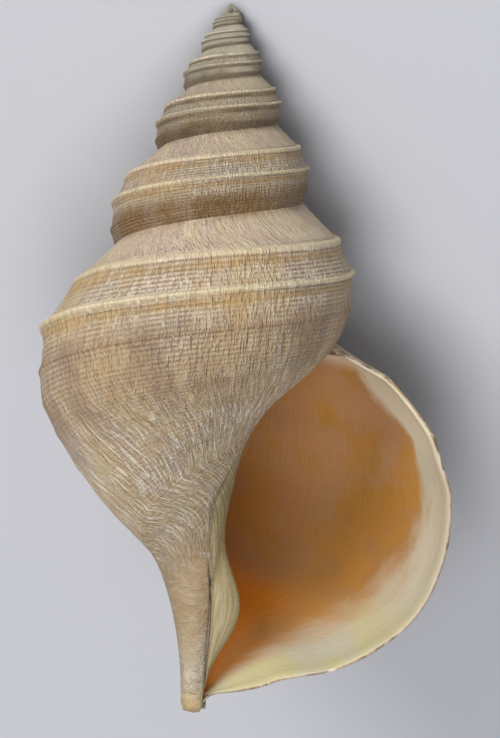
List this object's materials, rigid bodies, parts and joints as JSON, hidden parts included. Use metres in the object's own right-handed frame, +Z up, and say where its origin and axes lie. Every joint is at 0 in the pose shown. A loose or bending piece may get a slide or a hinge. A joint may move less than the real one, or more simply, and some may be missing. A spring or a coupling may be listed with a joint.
{
  "type": "whelk shell",
  "caption": "Empty right-handed whelk shell with a tall keeled spire, a wide flared aperture and a short open canal, lying aperture up.",
  "frame": {"origin": "centre of the bounding box in X and Y, on the surface that the shell lies on", "axes": "+Z up, +Y along the shell towards its apex, +X towards the outer lip"},
  "size_m": [0.0766, 0.1172, 0.0616],
  "materials": {
    "shell": "chalky ribbed outside, glossy orange inside"
  },
  "bodies": {
    "root": {"whelk_shell": "shell"}
  },
  "joints": []
}
